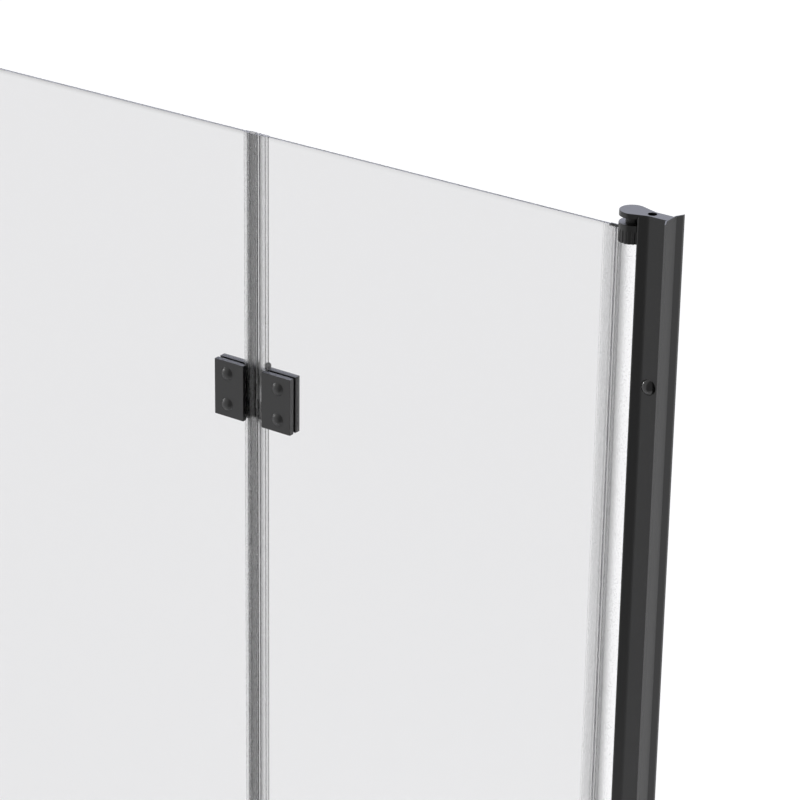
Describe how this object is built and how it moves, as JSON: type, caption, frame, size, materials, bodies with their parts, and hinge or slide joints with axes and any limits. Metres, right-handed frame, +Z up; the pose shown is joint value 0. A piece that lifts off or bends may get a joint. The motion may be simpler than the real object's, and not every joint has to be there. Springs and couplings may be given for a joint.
{
  "type": "folding shower door",
  "caption": "Wall-hung folding shower door of clear glass leaves with black profiles, pivot fittings, fold hinges and clear seals.",
  "frame": {"origin": "on the wall pivot axis, at the underside of the bottom pivot cap, which stands at the bath rim or tray", "axes": "+Z up along the pivot axis, +X to the wall, +Y to the side that the outer leaf folds to"},
  "size_m": [1, 0.0408, 1.4],
  "materials": {
    "clear_glass": "clear, polished edges",
    "clear_seal": "translucent, slightly frosted",
    "black_profile": "satin black powder coat",
    "black_fitting": "satin black",
    "dome_black": "satin black",
    "screw_steel": "plain steel",
    "pad_rubber": "matt",
    "bush_plastic": "matt"
  },
  "bodies": {
    "wall_frame": {"bottom_cap_screw": "screw_steel", "bottom_locking_screw": "screw_steel", "bottom_pivot_cap": "black_fitting", "bottom_pivot_pin": "screw_steel", "bottom_screw_cover": "dome_black", "hinge_profile": "black_profile", "top_cap_screw": "screw_steel", "top_locking_screw": "screw_steel", "top_pivot_cap": "black_fitting", "top_pivot_pin": "screw_steel", "top_screw_cover": "dome_black", "wall_profile": "black_profile"},
    "inner_leaf": {"bottom_barrel": "black_fitting", "bottom_pivot_bush": "bush_plastic", "inner_drip_seal": "clear_seal", "inner_glass": "clear_glass", "inner_seam_seal": "clear_seal", "lower_inner_back_plate": "black_fitting", "lower_inner_clamp_screws": "screw_steel", "lower_inner_dome_caps": "dome_black", "lower_inner_front_plate": "black_fitting", "lower_inner_pads": "pad_rubber", "pivot_tube_seal": "clear_seal", "top_barrel": "black_fitting", "top_pivot_bush": "bush_plastic", "upper_inner_back_plate": "black_fitting", "upper_inner_clamp_screws": "screw_steel", "upper_inner_dome_caps": "dome_black", "upper_inner_front_plate": "black_fitting", "upper_inner_pads": "pad_rubber"},
    "outer_leaf": {"free_edge_seal": "clear_seal", "lower_hinge_pin": "black_fitting", "lower_outer_back_plate": "black_fitting", "lower_outer_clamp_screws": "screw_steel", "lower_outer_dome_caps": "dome_black", "lower_outer_front_plate": "black_fitting", "lower_outer_pads": "pad_rubber", "outer_drip_seal": "clear_seal", "outer_glass": "clear_glass", "outer_seam_seal": "clear_seal", "upper_hinge_pin": "black_fitting", "upper_outer_back_plate": "black_fitting", "upper_outer_clamp_screws": "screw_steel", "upper_outer_dome_caps": "dome_black", "upper_outer_front_plate": "black_fitting", "upper_outer_pads": "pad_rubber"}
  },
  "joints": [
    {"name": "wall_pivot", "type": "hinge", "parent": "wall_frame", "child": "inner_leaf", "pos_m": [0, 0, 0.7], "axis": [0, 0, 1], "range_deg": [-90, 90]},
    {"name": "fold_hinge", "type": "hinge", "parent": "inner_leaf", "child": "outer_leaf", "pos_m": [-0.4886, 0.0111, 0.7], "axis": [0, 0, -1], "range_deg": [0, 180]}
  ]
}
